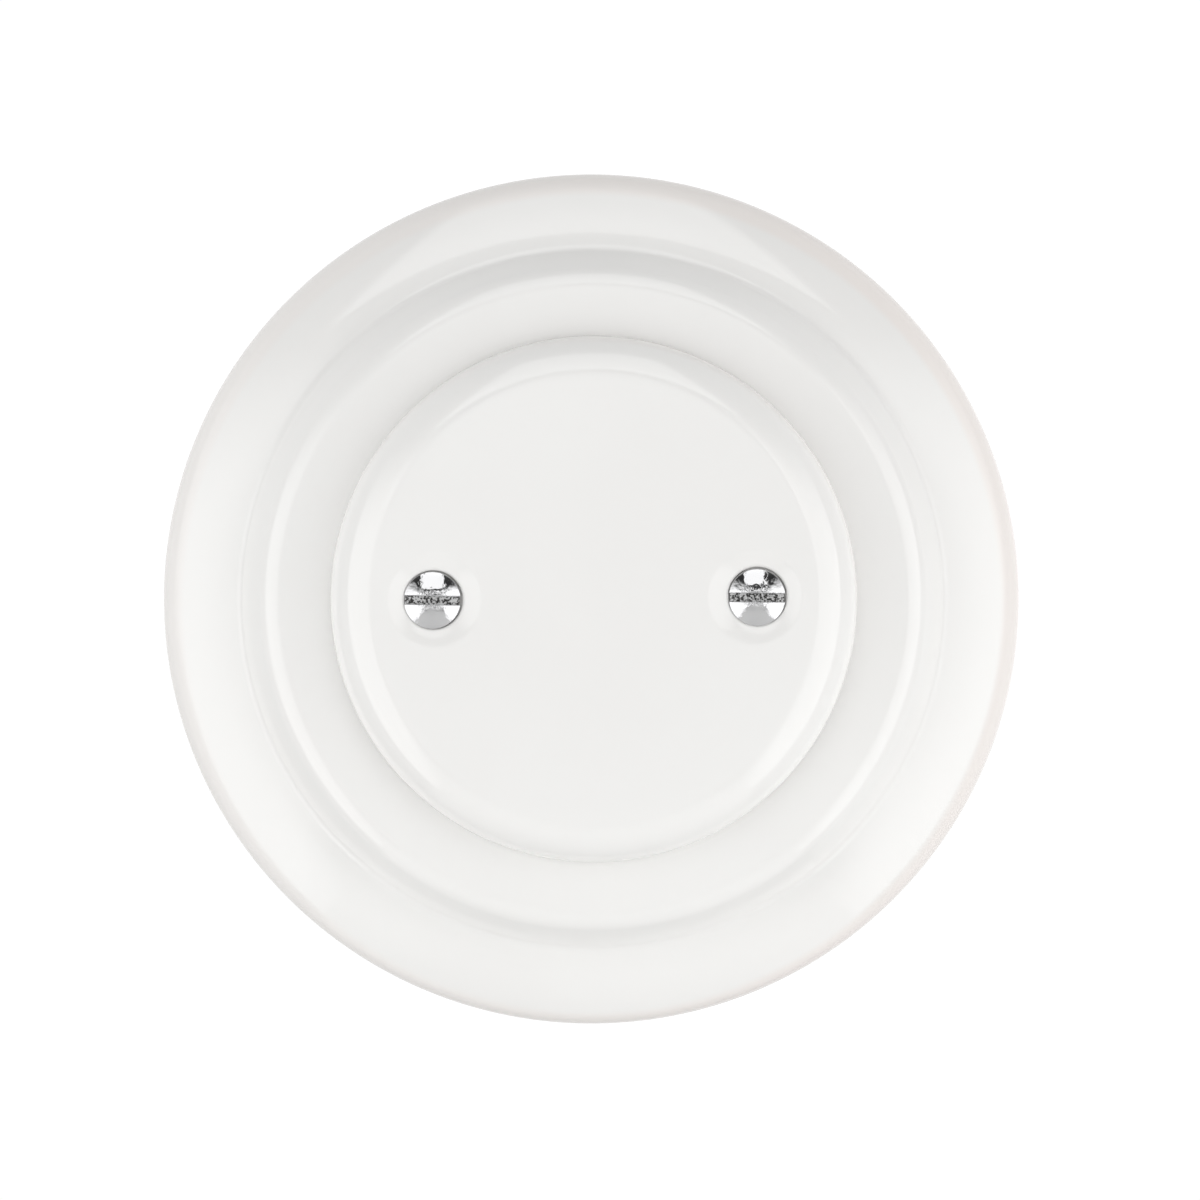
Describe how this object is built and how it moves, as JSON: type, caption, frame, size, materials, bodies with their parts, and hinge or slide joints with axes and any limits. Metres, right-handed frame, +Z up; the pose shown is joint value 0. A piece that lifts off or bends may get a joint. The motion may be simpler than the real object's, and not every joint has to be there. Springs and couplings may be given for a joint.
{
  "type": "blank cover plate",
  "caption": "Round blank wall cover plate: a raised porcelain disc on a stepped porcelain surround, held by slotted cover screws to a steel support plate on the wall box.",
  "frame": {"origin": "centre of the plate on the wall plane, midway between the box screws", "axes": "upright as on a wall: front faces -Y, +Y goes into the wall, +Z is up, and the cover screws lie along X"},
  "size_m": [0.1, 0.0259, 0.1],
  "materials": {
    "surround_glaze": "white gloss glaze",
    "disc_glaze": "white gloss glaze",
    "screw_plating": "bright plated",
    "plate_steel": "zinc plated sheet"
  },
  "bodies": {
    "root": {"surround_ring": "surround_glaze", "cover_disc": "disc_glaze", "cover_screws": "screw_plating", "support_plate": "plate_steel"}
  },
  "joints": []
}
